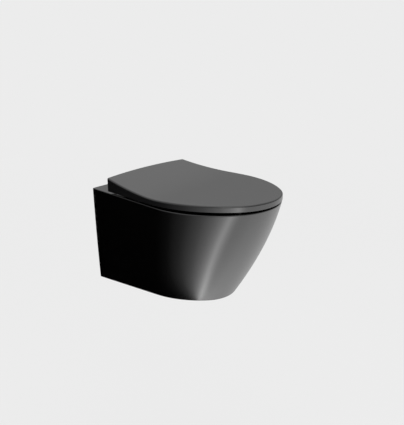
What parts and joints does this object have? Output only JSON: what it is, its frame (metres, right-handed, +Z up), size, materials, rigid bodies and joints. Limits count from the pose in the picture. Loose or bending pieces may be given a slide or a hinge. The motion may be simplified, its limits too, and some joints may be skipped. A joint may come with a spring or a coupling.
{
  "type": "wall hung toilet",
  "caption": "Wall hung toilet: tapering black glazed pan with bowl, trap and flush inlet, and a wrap-over lid that curves up to the back over a hinged seat ring.",
  "frame": {"origin": "on the wall plane, midway between the two wall fixings", "axes": "+X across the pan, +Y to the wall and along the wall studs, +Z up"},
  "size_m": [0.373, 0.52, 0.3281],
  "materials": {
    "glaze": "high gloss glaze",
    "lid_gloss": "gloss",
    "seat_gloss": "gloss",
    "hinge_plastic": "semi gloss",
    "bush_plastic": "natural acetal",
    "hinge_metal": "brushed stainless",
    "fixing_metal": "zinc plated",
    "sleeve_plastic": "moulded",
    "rubber": "moulded",
    "pad_rubber": "soft moulded"
  },
  "bodies": {
    "pan": {"pan_shell": "glaze", "bowl": "glaze", "trapway_bend": "glaze", "trapway_rise": "glaze", "trapway_fall": "glaze", "outlet_spigot": "glaze", "flush_duct": "glaze", "rear_wall": "glaze", "anchor_bar_left": "fixing_metal", "anchor_bar_right": "fixing_metal", "anchor_sleeve_left": "sleeve_plastic", "anchor_sleeve_right": "sleeve_plastic", "clamp_screw_left": "fixing_metal", "clamp_screw_right": "fixing_metal", "deck_plug_left": "rubber", "deck_plug_right": "rubber", "inlet_seal": "rubber", "hinge_base_left": "hinge_metal", "hinge_base_right": "hinge_metal", "hinge_post_left": "hinge_metal", "hinge_post_right": "hinge_metal", "hinge_block_left": "hinge_plastic", "hinge_block_right": "hinge_plastic", "catch_spring_left": "fixing_metal", "catch_spring_right": "fixing_metal", "hinge_shaft_left": "hinge_metal", "hinge_shaft_right": "hinge_metal"},
    "seat": {"seat_ring": "seat_gloss", "seat_damper": "bush_plastic", "seat_bush": "bush_plastic", "seat_pads": "pad_rubber"},
    "lid": {"lid": "lid_gloss", "lid_damper": "bush_plastic", "lid_bush": "bush_plastic", "lid_pads": "pad_rubber"},
    "release_left": {"release_button_left": "hinge_plastic"},
    "release_right": {"release_button_right": "hinge_plastic"}
  },
  "joints": [
    {"name": "seat_hinge", "type": "hinge", "parent": "pan", "child": "seat", "pos_m": [0, -0.068, 0.108], "axis": [-1, 0, 0], "range_deg": [0, 95]},
    {"name": "lid_hinge", "type": "hinge", "parent": "seat", "child": "lid", "pos_m": [0, -0.068, 0.108], "axis": [-1, 0, 0], "range_deg": [0, 95]},
    {"name": "release_left_slide", "type": "slide", "parent": "pan", "child": "release_left", "axis": [0, 1, 0], "range_m": [0, 0.002], "stiffness_N_per_m": 400, "springref_m": -0.001, "deforming": ["catch_spring_left"]},
    {"name": "release_right_slide", "type": "slide", "parent": "pan", "child": "release_right", "axis": [0, 1, 0], "range_m": [0, 0.002], "stiffness_N_per_m": 400, "springref_m": -0.001, "deforming": ["catch_spring_right"]}
  ]
}
